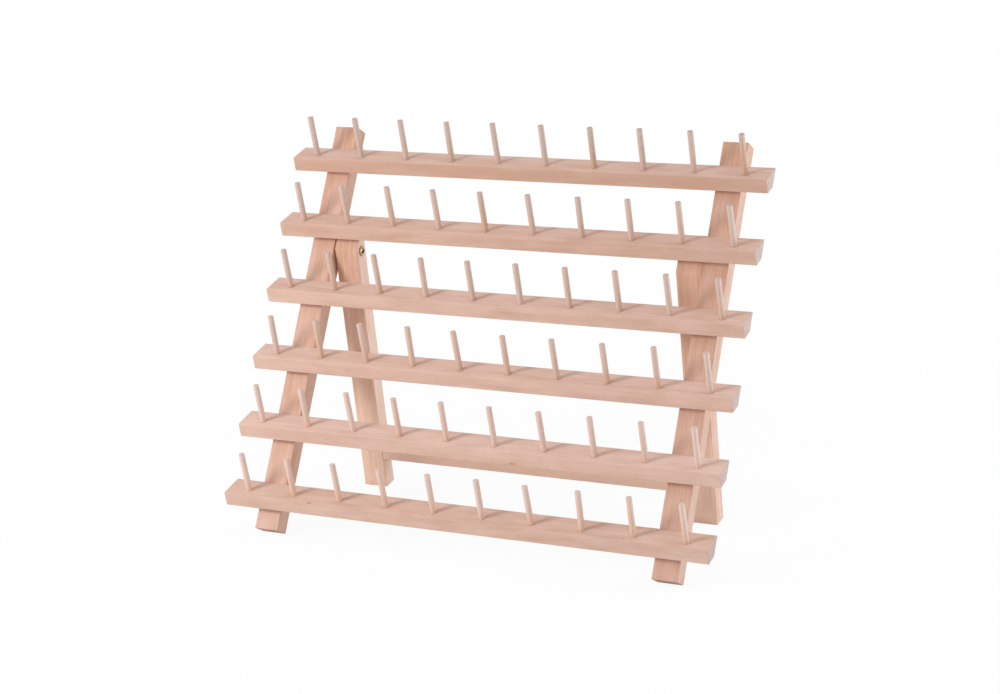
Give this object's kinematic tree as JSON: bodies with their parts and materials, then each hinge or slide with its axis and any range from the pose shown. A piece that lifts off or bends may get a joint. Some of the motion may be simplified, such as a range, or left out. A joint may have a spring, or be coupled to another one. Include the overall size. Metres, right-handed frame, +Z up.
{
  "type": "folding thread spool rack",
  "caption": "Wooden thread rack: bevelled rails with upright pegs for spools, on leaning front legs propped by a rear frame that swings flat on two screws.",
  "frame": {"origin": "on the floor, under the middle of the open rack's box", "axes": "+X along the rails, to the right seen from the front; +Y from front to back; +Z up"},
  "size_m": [0.437, 0.1976, 0.3375],
  "materials": {
    "beech_rails": "sanded bare beech",
    "beech_pegs": "sanded bare beech dowel",
    "beech_legs": "sanded bare beech",
    "brass_screws": "yellow-plated, slightly dull",
    "zinc_screws": "zinc-plated"
  },
  "bodies": {
    "front_frame": {"rail_1": "beech_rails", "rail_1_pegs": "beech_pegs", "rail_2": "beech_rails", "rail_2_pegs": "beech_pegs", "rail_3": "beech_rails", "rail_3_pegs": "beech_pegs", "rail_4": "beech_rails", "rail_4_pegs": "beech_pegs", "rail_5": "beech_rails", "rail_5_pegs": "beech_pegs", "rail_6": "beech_rails", "rail_6_pegs": "beech_pegs", "left_front_leg": "beech_legs", "left_pivot_screw": "brass_screws", "left_rail_screws": "zinc_screws", "right_front_leg": "beech_legs", "right_pivot_screw": "brass_screws", "right_rail_screws": "zinc_screws"},
    "rear_frame": {"left_rear_leg": "beech_legs", "left_crossbar_screw": "zinc_screws", "right_rear_leg": "beech_legs", "right_crossbar_screw": "zinc_screws", "crossbar": "beech_legs"}
  },
  "joints": [
    {"name": "rear_frame_fold", "type": "hinge", "parent": "front_frame", "child": "rear_frame", "pos_m": [0, 0.03819, 0.2234], "axis": [-1, 0, 0], "range_deg": [0, 37]}
  ]
}
